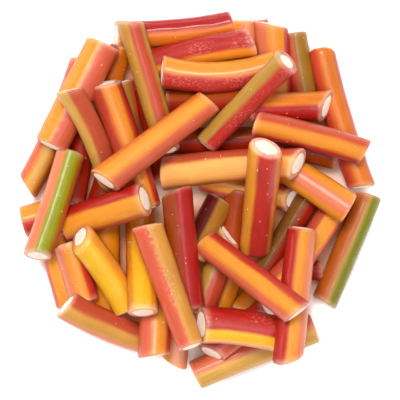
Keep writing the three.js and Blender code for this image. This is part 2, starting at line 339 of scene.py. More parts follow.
# The sticks that show only in the gaps between the others, flat on the ground below them, darkened with
# painted shade
GAP_STICKS = [
    stick("deep_left", (166, 178), (146, 86), (26, 26), "wine .7 umber"),
    stick("deep_lower", (90, 232), (118, 150), (27, 27), "wine .4 umber"),
    stick("behind_broad", (106, 92), (122, 47), (25, 25), "umber .4 ochre", "crimson", deep=1.3),
    stick("top_behind", (259, 90), (258, 19), (22, 22), "salmon .5 crimson", "crimson", cuts=(0, .25)),
    stick("deep_middle", (203, 310), (208, 235), (27, 27), "ochre"),
    stick("deep_yellow", (141, 290), (140, 203), (30, 30), "amber .2 yellow .8 amber", deep=1.4),
    stick("deep_centre", (226, 262), (240, 190), (28, 28), "umber"),
]

# The other sticks from the lowest to the highest
STICKS = [
    stick("left_rear", (27.5, 187), (84, 59), (26, 28), "coral .3 gold .8 rust", "crimson", bow=-4,
          slants=(-.5, .15)),
    stick("top_crimson", (116, 34), (234, 24), (27, 28), "crimson .5 amber", "coral", bow=-3.5,
          cuts=(.25, .05), slants=(.1, .15), deep=1.38, folds=((-48, 0.30), (-28, 0.22))),
    stick("top_pale", (246, 110), (247, 20), (27, 27), "amber .3 salmon .85 coral", "crimson",
          cuts=(0, .15)),
    stick("top_olive", (311, 137), (294, 33), (27, 26), "brick .38 moss", "crimson", deep=1.05),
    stick("right_tall", (362, 187), (321, 50), (28, 28), "coral .3 amber .85 salmon", "crimson", bow=3,
          cuts=(.1, -.25), slants=(-.25, -.1), rims=(RIM, 2.1), deep=1.4),
    stick("left_under", (72, 203), (88, 110), (27, 27), "wine", "coral"),
    stick("behind_salmon", (136, 175), (121, 82), (26, 26), "coral .4 olive .9 coral", "crimson",
          cuts=(0, .15), slants=(0, .1), deep=1.3),
    stick("under_upper", (165, 102), (250, 100), (28, 28), "umber .55 wine", "coral"),
    stick("under_middle", (168, 141), (262, 140), (27, 27), "umber .45 wine", "amber"),
    stick("left_small", (23, 222), (67, 211), (33, 33), "amber .5 crimson .85 salmon"),
    stick("left_orange", (70, 306), (51, 236), (28, 28), "coral .15 amber .9 coral", "crimson"),
    stick("ochre_under", (106, 318), (106, 225), (29, 29), "ochre", "coral"),
    stick("crimson_tip", (284, 266), (322, 271), (26, 21), "wine", slants=(0, .3)),
    stick("bottom_pale", (174.5, 363), (177, 285), (26, 28), "amber .3 salmon .85 coral", "crimson",
          cuts=(-.2, 0), slants=(-.5, 0), deep=0.7),
    stick("bottom_long", (195, 375.5), (315, 328), (31, 31), "coral .45 gold", "crimson", bow=1,
          slants=(.05, 0), deep=0.92),
    stick("ochre_slant", (214, 318), (240, 256), (27, 27), "ochre", "coral"),
    stick("olive_low", (200, 314), (229, 235), (28, 28), "olive .45 brick", "crimson", cuts=(0, .3),
          slants=(0, -.6), deep=1.15),
    stick("ochre_cross", (242, 314), (262, 287), (28, 28), "ochre", "umber"),
    stick("bottom_white", (211, 353), (268, 309), (29, 27), "crimson .5 coral", cuts=(.42, .3),
          slants=(.4, 0), deep=1.05),
    stick("dark_right", (255, 287), (313, 191), (25, 26), "khaki .5 wine"),
    stick("under_long", (258, 138), (337, 157), (27, 27), "wine .55 umber"),
    stick("right_green", (324, 303), (369, 195), (27, 27), "bronze .5 gold .6 green", "crimson",
          cuts=(.08, -.1), slants=(-.15, .12), deep=1.25),
    stick("left_broad", (51, 146), (103.5, 44), (35, 36), "amber .48 coral", "crimson",
          cuts=(.14, -.05), slants=(.05, .05), rims=(RIM, 0.5), deep=1.05),
    stick("top_salmon", (277, 115), (271, 24), (34, 34), "salmon .35 amber .85 crimson", "coral",
          cuts=(0, .15), slants=(0, -.3), deep=1.1),
    stick("glossy_crimson", (152, 64), (251, 43), (30, 30), "crimson .66 amber", "coral", bow=2,
          cuts=(0, -.2), slants=(0, .32), deep=1.15, scales_and_glints=(0.9, -25, 15),
          folds=((-56, 0.34), (-36, 0.30))),
    stick("tall_olive", (168, 151), (130, 22), (26, 26), "olive .4 brick .87 olive", "crimson",
          cuts=(.3, .05), slants=(0, -.28), deep=1.05),
    stick("gold_coral", (112, 192), (69, 90), (25, 26), "gold .4 brick", "crimson", bow=-5,
          cuts=(0, .12), slants=(0, -.42), deep=0.92),
    stick("salmon_amber", (147, 209), (103.5, 83), (30, 35), "brick .38 amber .85 crimson", bow=-1.5,
          cuts=(.08, .22), slants=(0, -.2), deep=1.12),
    stick("left_pink", (85, 302), (68, 243), (30, 30), "salmon .3 amber .75 crimson", "coral"),
    stick("curved_amber", (270, 290), (340, 195), (28, 28), "brick .3 amber .85 coral", bow=-6),
    stick("wine_short", (192, 256), (220.5, 199.5), (31, 29), "plum .45 olive", "coral", cuts=(0, -.1),
          slants=(0, -.1), deep=1.3),
    stick("crimson_glow", (190, 309), (177, 192), (32, 32), "rust .45 crimson", "coral", bow=1,
          cuts=(0, -.2), slants=(0, .3), deep=1.3),
    stick("small_round", (202, 178), (292, 200), (27, 27), "crimson .25 amber .85 crimson",
          cuts=(0, .62), filling=0.62, deep=0.85),
    stick("amber_white", (250, 108), (327, 106), (30, 30), "amber .48 crimson", "coral", cuts=(0, .38),
          slants=(0, -.4), deep=1.35, flare=(0, 0.1)),
    stick("amber_smile", (162, 71), (277, 65), (32, 31), "amber .55 crimson", "coral", bow=-9,
          cuts=(.1, 0), slants=(.2, 0), scales_and_glints=(0.9, 20, 50)),
    stick("long_right", (256, 124), (365, 152.5), (27, 28), "brick .35 amber .85 crimson", bow=2,
          cuts=(-.2, 0), slants=(-.15, -.22)),
    stick("salmon_right", (272, 158), (349, 209), (31, 33), "amber .3 salmon .8 amber", "crimson",
          slants=(0, .07)),
    stick("red_left", (62, 225), (145, 199), (34, 35), "cherry .32 amber .9 coral", cuts=(0, .3)),
    stick("yellow_left", (129, 311), (80, 237), (30, 31), "yellow .75 amber", "coral", bow=-3,
          cuts=(0, .6), slants=(0, .3), rims=(RIM, 1.7), filling=0.56),
    stick("bottom_left", (66, 305), (151, 341.5), (31, 30), "brick .42 gold .85 salmon", "crimson",
          bow=-2.7, cuts=(.22, 0), slants=(-.15, 0)),
    stick("coral_stub", (154, 356), (157, 285), (33, 33), "coral .42 amber .85 crimson", cuts=(.1, 0),
          slants=(.2, 0)),
    stick("yellow_down", (143, 313), (141, 240), (31, 31), "amber .2 yellow .8 amber", "coral",
          cuts=(.35, 0), deep=1.1),
    stick("green_left", (37, 256), (71, 153), (29, 30), "salmon .36 green .85 rust", "crimson", bow=-1,
          cuts=(.38, -.25), slants=(.2, 0)),
    stick("olive_crimson", (205, 145), (287, 61), (25, 27), "olive .48 crimson", "coral", cuts=(0, .5),
          slants=(.1, -.1), flare=(0, 0.12), filling=0.6, scales_and_glints=(0.7, 15, 45)),
    stick("big_amber", (104, 181), (210, 101), (33, 29), "orange .15 amber .62 coral", "crimson",
          cuts=(.28, -.05), slants=(.3, .2)),
    stick("middle_yellow", (163, 174), (298, 164), (35, 31), "brick .25 honey .9 orange", "crimson",
          bow=3, cuts=(-.2, .45), slants=(-.15, -.4), flare=(0, 0.04)),
    stick("coral_gold", (191, 347), (147, 226), (27, 33), "coral .5 gold", "crimson", cuts=(.25, -.1),
          slants=(0, -.15), deep=1.06, ragged=1.0, scales_and_glints=(0.8, -5, 30)),
    stick("crimson_yellow", (201, 325), (298, 340), (38, 36), "cherry .6 yellow .95 salmon", bow=4,
          cuts=(.3, 0), scales_and_glints=(0.5, -60, -30)),
    stick("lower_right", (288, 359.5), (302, 228), (31, 31), "cherry .38 amber .72 salmon",
          cuts=(-.25, .06), slants=(.42, 0), rims=(1.1, RIM), folds=((-3, 0.13), (7, 0.1), (17, 0.12))),
    stick("amber_slant", (204, 241), (298, 313), (29, 31), "crimson .25 amber .72 coral",
          cuts=(-.25, .2), slants=(-.2, -.3)),
    stick("front_red", (255, 252), (266, 147), (33, 35), "amber .28 crimson .85 orange", "coral",
          cuts=(-.45, .6), slants=(0, -.3), deep=0.93, rims=(2.0, 1.5), filling=0.64),
]


# The plan place, in millimetres, of a pixel seen at a height above the ground
def plan_point(pixel, height):
    scale = GROUND_SCALE * (1 - height / CAMERA_HEIGHT)
    return np.array([pixel[0] - PHOTO_MIDDLE, PHOTO_MIDDLE - pixel[1]]) * scale


# A stick's centre line for given end heights: a chord that bulges sideways, and its end radii
def centre_line(row, heights):
    start = plan_point(row.start, heights[0])
    finish = plan_point(row.finish, heights[1])
    along = (finish - start) / np.linalg.norm(finish - start)
    scale = GROUND_SCALE * (1 - sum(heights) / 2 / CAMERA_HEIGHT)
    line = SimpleNamespace(
        start=np.append(start, heights[0]), finish=np.append(finish, heights[1]),
        left=np.array([-along[1], along[0], 0]), bulge=row.bow * scale,
        radii=np.array(row.wide) * scale / 2,
    )
    line.length = np.linalg.norm(line.finish - line.start)
    return line


# Points of a centre line at shares of its length
def points_at(line, shares):
    shares = np.asarray(shares, float)[:, None]
    bulge = line.left * line.bulge * 4 * shares * (1 - shares)
    return line.start + (line.finish - line.start) * shares + bulge


# The radii of a stick at shares of its length
def radii_at(line, shares):
    return line.radii[0] + (line.radii[1] - line.radii[0]) * np.asarray(shares, float)


# The lowest heights at which the stick's balls clear the ground and what lies there
def lifts_over(points, radii, laid):
    lifts = radii.copy()
    for other in laid:
        reach = (radii[:, None] + other.radii[None]) * PRESS
        gaps = points[:, None, :2] - other.balls[None, :, :2]
        room = reach ** 2 - (gaps ** 2).sum(2)
        over = other.balls[None, :, 2] + np.sqrt(np.maximum(room, 0))
        lifts = np.maximum(lifts, np.where(room > 0, over, 0).max(1))
    return lifts


# A straight stick's end heights when it lies on two supports, one each side of its middle
def resting_heights(shares, lifts):
    before = shares <= 0.5
    after = ~before
    rises = lifts[after][None] - lifts[before][:, None]
    slopes = rises / (shares[after][None] - shares[before][:, None])
    middles = lifts[before][:, None] + slopes * (0.5 - shares[before][:, None])
    best = np.unravel_index(np.argmax(middles), middles.shape)
    return middles[best] - slopes[best] / 2, middles[best] + slopes[best] / 2


# Lays one stick on the sticks below it
def lay(row, laid):
    line = centre_line(row, (STICK_DIAMETER / 2, STICK_DIAMETER / 2))
    insets = line.radii / line.length
    places = insets[0] + np.linspace(0, 1, SETTLE_STEPS + 1) * (1 - insets.sum())
    supports = np.append(places, (0, 1))
    for _ in range(SETTLE_ROUNDS):
        lifts = lifts_over(points_at(line, places), radii_at(line, places), laid)
        line = centre_line(row, resting_heights(supports, np.append(lifts, line.radii)))
    balls = points_at(line, places)
    return SimpleNamespace(row=row, line=line, balls=balls, radii=radii_at(line, places))


# Lays all the sticks, and numbers them
def lay_all():
    laid = []
    for row in STICKS:
        laid.append(lay(row, laid))
    laid = [lay(row, []) for row in GAP_STICKS] + laid
    for index, item in enumerate(laid):
        item.index = index
    return laid


# A smooth random height over a stick's surface, mostly between -1 and 1, as a sum of long waves
def waves(random, angles, along, longest, most_round):
    total = np.zeros(np.broadcast(angles, along).shape)
    for _ in range(WAVES):
        turns = random.integers(0, most_round + 1)
        length = longest * random.uniform(SHORTEST_WAVE, 1)
        phases = random.uniform(0, 2 * math.pi, 2)
        total += np.sin(turns * angles + phases[0]) * np.sin(2 * math.pi * along / length + phases[1])
    return total / math.sqrt(WAVES)


# The angle between two directions round a stick, from -pi to pi
def turn_between(angles, middle):
    return (angles - middle + math.pi) % (2 * math.pi) - math.pi


# How a coat's radius changes over its surface: by slow swells and ripples, flared ends, grooves where
# two stripes meet, and folds
def coat_relief(item, random, angles, along):
    row = item.row
    length = item.line.length
    radius = item.line.radii.mean()
    longest, most_round, height = SWELLS
    relief = waves(random, angles, along, longest, most_round) * radius * height
    longest, most_round, height = RIPPLES
    relief += waves(random, angles, along, longest, most_round) * height
    drift = waves(random, 0, along, GROOVE_DRIFT[0], 0) * GROOVE_DRIFT[1]
    for near, flare in zip((along, length - along), row.flare):
        relief += radius * flare * np.clip(1 - near / FLARE_REACH, 0, 1) ** 2
    for border in (*row.borders, UNDER_ARC / radius, -UNDER_ARC / radius):
        arc = turn_between(angles, border + drift) * radius
        relief -= GROOVE_DEPTH * np.exp(-(arc / GROOVE_WIDTH) ** 2)
    for degrees, depth in row.folds:
        wander = waves(random, 0, along, FOLD_DRIFT[0], 0) * FOLD_DRIFT[1]
        wander = wander + FOLD_TURN * (along / length - 0.5)
        arc = turn_between(angles, math.radians(degrees) + wander) * radius
        swell = np.clip(FOLD_SWELL * np.sin(math.pi * (along / length)), FOLD_LEAST, 1)
        relief -= depth * swell * np.exp(-(arc / CREASE_WIDTH) ** 2)
        relief += depth * RIDGE_HEIGHT * swell * np.exp(-((arc - RIDGE_PLACE) / RIDGE_WIDTH) ** 2)
    return relief


# How far each cut leans along the stick: up the section, from how open it looks and how steep the
# stick lies, and across it
def cut_leans(item):
    line = item.line
    rise = (line.finish[2] - line.start[2]) / line.length
    level = math.sqrt(1 - rise * rise)
    first = np.clip((item.row.cuts[0] + rise) / level, -STEEPEST_CUT, STEEPEST_CUT)
    last = np.clip((rise - item.row.cuts[1]) / level, -STEEPEST_CUT, STEEPEST_CUT)
    return (first, item.row.slants[0]), (last, item.row.slants[1])


# Where a surface given by rings stands: each ring has a distance from the stick's start and its own
# radii, and the lean of the cuts fades away from the ends
def ring_points(item, along, radii, angles):
    line = item.line
    length = line.length
    shares = along / length
    centres = points_at(line, shares)
    tangents = points_at(line, shares + TANGENT_STEP) - points_at(line, shares - TANGENT_STEP)
    tangents /= np.linalg.norm(tangents, axis=1)[:, None]
    right = np.stack([tangents[:, 1], -tangents[:, 0], np.zeros(len(shares))], 1)
    right /= np.linalg.norm(right, axis=1)[:, None]
    up = np.cross(right, tangents)
    across = radii * np.sin(angles)
    rise = radii * np.cos(angles)
    slide = 0
    for near, (lean_up, lean_across) in zip((along, length - along), cut_leans(item)):
        fade = np.clip(1 - np.maximum(near, 0) / LEAN_REACH, 0, 1) ** LEAN_FADE
        slide = slide + fade[:, None] * (lean_up * rise + lean_across * across)
    points = centres[:, None] + right[:, None] * across[..., None] + up[:, None] * rise[..., None]
    return points + tangents[:, None] * slide[..., None]


# The profile of a cut end, from the coat's side over its rounded rim and cut face to behind the
# filling's edge, which lies hole from the coat's radius: pairs of a distance from the cut and an
# inset from the coat's radius
def end_profile(rim, hole):
    turn = np.linspace(0, math.pi / 2, RIM_STEPS)
    profile = [(rim * (1 - math.sin(angle)), rim * (1 - math.cos(angle))) for angle in turn]
    inner = profile[-1][1] + LIP
    profile.append((FACE_DEPTH, (inner + hole) / 2))
    return profile + [(depth, hole + past) for depth, past in CLOSING]


# A coat as rings from behind one end's filling, over its side, to behind the other end's: their
# distances from the stick's start, their insets and the coat's radius there
def coat_rings(item):
    row = item.row
    length = item.line.length
    first, last = [
        end_profile(rim, radius * COAT_SHARE * (1 - row.filling))
        for rim, radius in zip(row.rims, item.line.radii)
    ]
    count = round((length - sum(row.rims)) / RING_STEP)
    side = np.linspace(first[0][0], length - last[0][0], count + 1)[1:-1]
    first.reverse()
    first_depths, first_insets = np.array(first).T
    last_depths, last_insets = np.array(last).T
    along = np.concatenate([first_depths, side, length - last_depths])
    inset = np.concatenate([first_insets, np.zeros(len(side)), last_insets])
    return along, inset, radii_at(item.line, along / length) * COAT_SHARE


# Quads between rings, and a fan of triangles over each end
def ring_faces(rings, sides, base):
    ring = np.arange(rings - 1)[:, None] * sides
    side = np.arange(sides)[None]
    after = (side + 1) % sides
    quads = np.stack([ring + side, ring + after, ring + sides + after, ring + sides + side], -1)
    quads = quads.reshape(-1, 4) + base
    tip_first = base + rings * sides
    tip_last = tip_first + 1
    last = base + (rings - 1) * sides
    fans = []
    for index in range(sides):
        follow = (index + 1) % sides
        fans.append((tip_first, base + follow, base + index))
        fans.append((tip_last, last + index, last + follow))
    return [tuple(quad) for quad in quads.tolist()] + fans


# The linear colour of a named stripe, a little different from stick to stick
def stripe_colour(name, deep, random):
    shares = np.array(COLOURS[name]) / 255
    # deep darkens the colour above 1 and pales it below 1: on some sticks their own colour, on others
    # painted shade or painted light
    linear = np.where(shares <= 0.04045, shares / 12.92, ((shares + 0.055) / 1.055) ** 2.4) ** deep
    lightness = 1 + random.uniform(-LIGHTNESS_SPREAD, LIGHTNESS_SPREAD)
    return linear * lightness * (1 + random.uniform(-HUE_SPREAD, HUE_SPREAD, 3))


# How scaly a coat is round the stick, which also sets how much painted glint it carries
def scales_and_glints_round(row, angles):
    strength, start, stop = row.scales_and_glints
    degrees = np.degrees(angles)
    beyond = np.maximum(start - degrees, degrees - stop)
    return strength * np.clip(1 - beyond / SCALE_AND_GLINT_FADE, 0, 1)


# The coat of one stick: its points, its faces and what its material reads at each point
def coat_part(item, base):
    random = np.random.default_rng(COAT_SEED + item.index)
    row = item.row
    along, inset, radius = coat_rings(item)
    angles = np.linspace(-math.pi, math.pi, SIDES + 1)[None, :-1]
    relief = coat_relief(item, random, angles, along[:, None])
    relief *= np.clip(1 - inset / radius * RELIEF_FADE, 0, 1)[:, None]
    radii = (radius - inset)[:, None] + relief
    points = ring_points(item, along, radii, np.broadcast_to(angles, radii.shape))
    tips = points[[0, -1]].mean(1)
    arcs = np.broadcast_to(angles * radius.mean(), radii.shape)
    places = np.broadcast_to(along[:, None] + item.index * PATTERN_STEP, radii.shape)
    pale = 0
    for near in (along, item.line.length - along):
        share = random.uniform(*PALE_SHARES)
        reach = random.uniform(*PALE_REACHES)
        pale = pale + share * np.clip(1 - near / reach, 0, 1) ** PALE_FADE
    borders = [turn_between(angles, border) * radius.mean() for border in row.borders]
    stripes = [np.broadcast_to(border, radii.shape) for border in borders]
    colours = [stripe_colour(name, row.deep, random) for name in (*row.bands, row.under)]
    count = len(along) * SIDES + 2

    def with_tips(values):
        return np.append(values.reshape(-1), (0, 0))

    return SimpleNamespace(
        points=np.concatenate([points.reshape(-1, 3), tips]),
        faces=ring_faces(len(along), SIDES, base),
        skin=np.stack([with_tips(arcs), with_tips(places)], 1),
        stripes=np.stack([with_tips(stripe) for stripe in stripes], 1),
        colours=[np.tile(np.append(colour, 1), (count, 1)) for colour in colours],
        numbers={
            "scales_and_glints": with_tips(np.broadcast_to(scales_and_glints_round(row, angles), radii.shape)),
            "ragged": np.full(count, row.ragged),
            "pale": with_tips(np.broadcast_to(np.minimum(pale, 1)[:, None], radii.shape)),
        },
    )


# The plug of filling at each end of one stick: its points, its faces and how near each point is to
# the plug's edge
def filling_part(item, base):
    random = np.random.default_rng(FILLING_SEED + item.index)
    angles = np.linspace(-math.pi, math.pi, PLUG_SIDES + 1)[None, :-1]
    shares, depths = np.array(PLUG_RINGS).T
    start = np.zeros((len(PLUG_RINGS), 1))
    points = []
    faces = []
    edges = []
    for end in (0, 1):
        plug = item.line.radii[end] * COAT_SHARE * item.row.filling
        spots = depths if end == 0 else item.line.length - depths
        uneven = 0
        for share, most_round in PLUG_WAVES:
            uneven = uneven + share * waves(random, angles, start, PLUG_WAVE_LENGTH, most_round)
        aside = PLUG_ASIDE * np.cos(angles - random.uniform(-math.pi, math.pi))
        radii = plug * shares[:, None] * (1 + uneven + aside)
        rings = ring_points(item, spots, radii, np.broadcast_to(angles, radii.shape))
        rings = rings + random.normal(0, PLUG_ROUGHNESS, rings.shape)
        done = len(points) * (len(shares) * PLUG_SIDES + 2)
        new = ring_faces(len(shares), PLUG_SIDES, base + done)
        faces += new if end == 0 else [tuple(reversed(face)) for face in new]
        points.append(np.concatenate([rings.reshape(-1, 3), rings[[0, -1]].mean(1)]))
        edges.append(np.append(np.repeat(shares, PLUG_SIDES), (0, 0)))
    return np.concatenate(points), faces, np.concatenate(edges)


# Adds an object to the scene
def add_object(name, data):
    made = bpy.data.objects.new(name, data)
    bpy.context.scene.collection.objects.link(made)
    return made


# A mesh object from points in millimetres, moved to where the heap stands
def mesh_object(name, points, faces, shift):
    mesh = bpy.data.meshes.new(name)
    points = points + shift
    points[:, 2] = np.maximum(points[:, 2], shift[2] + GROUND_PRESS)
    mesh.from_pydata((points * MM).tolist(), [], faces)
    mesh.polygons.foreach_set("use_smooth", [True] * len(mesh.polygons))
    mesh.update()
    return add_object(name, mesh)


# Numbers that the mesh holds at its points
def add_numbers(mesh, name, values):
    layer = mesh.attributes.new(name, "FLOAT", "POINT")
    layer.data.foreach_set("value", values.astype(np.float32).reshape(-1))


# A UV map from values at the points
def add_uv(mesh, name, values):
    layer = mesh.uv_layers.new(name=name)
    corners = np.zeros(len(mesh.loops), int)
    mesh.loops.foreach_get("vertex_index", corners)
    layer.uv.foreach_set("vector", values[corners].astype(np.float32).reshape(-1))


# The coats of several sticks as one piece
def coat_object(name, items, shift):
    parts = []
    base = 0
    for item in items:
        part = coat_part(item, base)
        base += len(part.points)
        parts.append(part)
    points = np.concatenate([part.points for part in parts])
    piece = mesh_object(name, points, [face for part in parts for face in part.faces], shift)
    mesh = piece.data
    add_uv(mesh, "skin", np.concatenate([part.skin for part in parts]))
    add_uv(mesh, "stripes", np.concatenate([part.stripes for part in parts]))
    for band in range(BANDS):
        layer = mesh.attributes.new(f"band_{band}", "FLOAT_COLOR", "POINT")
        values = np.concatenate([part.colours[band] for part in parts])
        layer.data.foreach_set("color", values.astype(np.float32).reshape(-1))
    for key in ("scales_and_glints", "ragged", "pale"):
        add_numbers(mesh, key, np.concatenate([part.numbers[key] for part in parts]))
    return piece


# The plugs of filling of several sticks as one piece
def filling_object(name, items, shift):
    points = []
    faces = []
    edges = []
    base = 0
    for item in items:
        new_points, new_faces, new_edges = filling_part(item, base)
        base += len(new_points)
        points.append(new_points)
        faces += new_faces
        edges.append(new_edges)
    piece = mesh_object(name, np.concatenate(points), faces, shift)
    add_numbers(piece.data, "edge", np.concatenate(edges))
    return piece


# A grain before it is made uneven: two rings and two tips, and its faces
def grain_shape():
    sides = GRAIN_SIDES
    steps = np.linspace(0, 2 * math.pi, sides + 1)[:-1]
    width, height = GRAIN_RING
    ring = np.stack([np.cos(steps), np.sin(steps), np.zeros(sides)], 1) * width
    rings = [ring + (0, 0, height), ring + (0, 0, -height)]
    ball = np.concatenate([*rings, [(0, 0, 1), (0, 0, -1)]])
    pairs = [(corner, (corner + 1) % sides) for corner in range(sides)]
    faces = [(corner, sides + corner, sides + follow, follow) for corner, follow in pairs]
    faces += [(2 * sides, corner, follow) for corner, follow in pairs]
    faces += [(2 * sides + 1, sides + follow, sides + corner) for corner, follow in pairs]
    return ball, faces


# Small uneven grains that stick to the coats' upper sides
def grains_object(name, items, shift):
    random = np.random.default_rng(SUGAR_SEED)
    ball, ball_faces = grain_shape()
    lengths = np.array([item.line.length for item in items])
    points = []
    faces = []
    for number in range(GRAINS):
        item = items[random.choice(len(items), p=lengths / lengths.sum())]
        along = np.array([random.uniform(GRAIN_INSET, item.line.length - GRAIN_INSET)])
        angle = np.array([[random.uniform(-GRAIN_TURN, GRAIN_TURN)]])
        radius = radii_at(item.line, along / item.line.length)[:, None] * COAT_SHARE
        centre = ring_points(item, along, radius, angle)
        size = random.uniform(*GRAIN_RADII)
        corners = random.uniform(*GRAIN_CORNERS, (len(ball), 1))
        shape = ball * size * corners * random.uniform(*GRAIN_WIDTHS, 3)
        points.append(centre[0, 0] + shape)
        faces += [tuple(corner + number * len(ball) for corner in face) for face in ball_faces]
    return mesh_object(name, np.concatenate(points), faces, shift)


# Nodes of one material, made and linked by short calls
class Shader:
    def __init__(self, name):
        self.material = bpy.data.materials.new(name)
        self.material.use_nodes = True
        self.tree = self.material.node_tree
        self.surface = self.tree.nodes["Principled BSDF"]

    def node(self, kind, inputs=(), **settings):
        made = self.tree.nodes.new(kind)
        for key, value in settings.items():
            setattr(made, key, value)
        for key, value in dict(inputs).items():
            self.put(made.inputs[key], value)
        return made

    # Gives a socket its value, which may come from another socket
    def put(self, socket, value):
        if isinstance(value, bpy.types.NodeSocket):
            self.tree.links.new(value, socket)
        else:
            socket.default_value = value

    # Puts values into the surface's sockets, with underscores for the spaces in their names
    def set(self, **values):
        for key, value in values.items():
            self.put(self.surface.inputs[key.replace("_", " ")], value)

    # A number or a colour that the mesh holds at its points
    def held(self, name, output="Fac"):
        return self.node("ShaderNodeAttribute", attribute_name=name).outputs[output]

    def uv_map(self, name):
        return self.node("ShaderNodeUVMap", uv_map=name).outputs[0]

    # The places of this material's points, in millimetres
    def millimetres(self):
        places = self.node("ShaderNodeTexCoord").outputs["Object"]
        return self.scaled(places, (1 / MM, 1 / MM, 1 / MM))

    # The three numbers of a vector
    def parts(self, vector):
        return self.node("ShaderNodeSeparateXYZ", {"Vector": vector}).outputs

    def grey(self, tone):
        return self.node("ShaderNodeCombineXYZ", {"X": tone, "Y": tone, "Z": tone}).outputs[0]

    def math(self, operation, first, second=0.0, third=0.0):
        made = self.node("ShaderNodeMath", operation=operation)
        for socket, value in zip(made.inputs, (first, second, third)):
            self.put(socket, value)
        return made.outputs[0]

    def scaled(self, vector, factors):
        made = self.node("ShaderNodeVectorMath", operation="MULTIPLY")
        self.put(made.inputs[0], vector)
        made.inputs[1].default_value = factors
        return made.outputs[0]

    def noise(self, vector, scale, detail, rough=0.5):
        values = {"Vector": vector, "Scale": scale, "Detail": detail, "Roughness": rough}
        return self.node("ShaderNodeTexNoise", values).outputs["Fac"]

    # Noise on a coat, with its own grain round the stick and along it
    def skin_noise(self, skin, grain, detail, rough=0.5):
        return self.noise(self.scaled(skin, grain), 1.0, detail, rough)

    # Noise whose numbers become others
    def pattern(self, places, scale, detail, becomes):
        return self.spread(self.noise(places, scale, detail), *becomes)

    def skin_pattern(self, skin, grain, detail, becomes, rough=0.5):
        return self.spread(self.skin_noise(skin, grain, detail, rough), *becomes)

    # A value taken from one range to another, held at the ends
    def spread(self, value, low, high, to_low, to_high, smooth=False):
        made = self.node("ShaderNodeMapRange", {"Value": value})
        made.interpolation_type = "SMOOTHSTEP" if smooth else "LINEAR"
        names = ("From Min", "From Max", "To Min", "To Max")
        for name, number in zip(names, (low, high, to_low, to_high)):
            self.put(made.inputs[name], number)
        return made.outputs[0]

    def mix(self, factor, first, second, blend="MIX"):
        made = self.node("ShaderNodeMix", data_type="RGBA", blend_type=blend)
        self.put(made.inputs["Factor"], factor)
        for socket, colour in zip(MIX_COLOURS, (first, second)):
            self.put(made.inputs[socket], colour)
        return made.outputs[MIX_RESULT]

    def bump(self, height, strength, distance, normal=None):
        values = {"Height": height, "Strength": strength, "Distance": distance}
        made = self.node("ShaderNodeBump", values)
        if normal:
            self.put(made.inputs["Normal"], normal)
        return made.outputs["Normal"]


# A coat's stripes, which meet in soft wavering edges. from_top is the distance round the stick from
# its top.
def stripe_colours(shader, skin, from_top):
    stripes = shader.parts(shader.uv_map("stripes"))
    ragged = shader.held("ragged")
    waver = shader.skin_pattern(skin, *WAVER)
    tears = shader.skin_pattern(skin, *TEARS)
    offset = shader.math("MULTIPLY_ADD", tears, shader.spread(ragged, *RAGGED_TEARS), waver)
    softness = shader.skin_pattern(skin, *SOFTNESS)
    softness = shader.math("MULTIPLY", softness, shader.spread(ragged, *RAGGED_SOFTNESS))
    start = shader.math("MULTIPLY", softness, -1.0)

    def edge(value):
        moved = shader.math("ADD", value, offset)
        return shader.spread(moved, start, softness, 0, 1, smooth=True)

    bands = [shader.held(f"band_{band}", "Color") for band in range(BANDS)]
    colour = shader.mix(edge(stripes[0]), bands[0], bands[1])
    colour = shader.mix(edge(stripes[1]), colour, bands[2])
    below = shader.math("SUBTRACT", from_top, UNDER_ARC)
    return shader.mix(edge(below), colour, bands[3])


# The glossy coat: its stripes with faint streaks along the stick, painted shade down its sides, its
# pale rims, its scales with painted glints on them, and the fine unevenness of set candy
def coat_material(name, gloss, blur):
    shader = Shader(name)
    skin = shader.uv_map("skin")
    places = shader.millimetres()
    from_top = shader.math("ABSOLUTE", shader.parts(skin)[0])
    colour = stripe_colours(shader, skin, from_top)
    streaks = shader.skin_pattern(skin, *STREAKS)
    tint = shader.grey(shader.math("MULTIPLY", streaks, shader.pattern(places, *CLOUDS)))
    colour = shader.mix(1.0, colour, tint, "MULTIPLY")
    # Painted shade: the coat's colour is darkened down its sides
    side = shader.spread(from_top, *SIDE_SHADE_ARC, 0, 1, smooth=True)
    colour = shader.mix(side, colour, SIDE_SHADE_TINT, "MULTIPLY")
    pale = shader.math("MULTIPLY", shader.held("pale"), shader.pattern(places, *RIM_PATCHES))
    colour = shader.mix(pale, colour, PALE_RIM)

    # Painted highlight: where the coat is scaly, pale glint specks are mixed into its colour; the
    # scales' bump below is real relief
    scales_and_glints_here = shader.math("MULTIPLY", shader.held("scales_and_glints"), shader.skin_pattern(skin, *SCALE_AND_GLINT_PATCHES))
    glint_specks = shader.math("MULTIPLY", shader.skin_pattern(skin, *GLINT_SHARES), scales_and_glints_here)
    colour = shader.mix(glint_specks, colour, GLINT_COLOUR)

    normal = shader.bump(shader.skin_noise(skin, *RIPPLE_NOISE), *RIPPLE_RELIEF)
    scales = shader.noise(places, *SCALE_NOISE)
    normal = shader.bump(scales, shader.spread(scales_and_glints_here, *SCALE_STRENGTHS), SCALE_HEIGHT, normal)
    normal = shader.bump(shader.noise(places, *PORE_NOISE), *PORE_RELIEF, normal)
    roughness = shader.pattern(places, *COAT_ROUGHNESS)
    shader.set(Base_Color=colour, Roughness=roughness, Normal=normal, Coat_Weight=COAT_GLOSS * gloss,
               Coat_Roughness=blur, Specular_IOR_Level=COAT_SPECULAR * gloss, **COAT_LIGHT)
    return shader.material


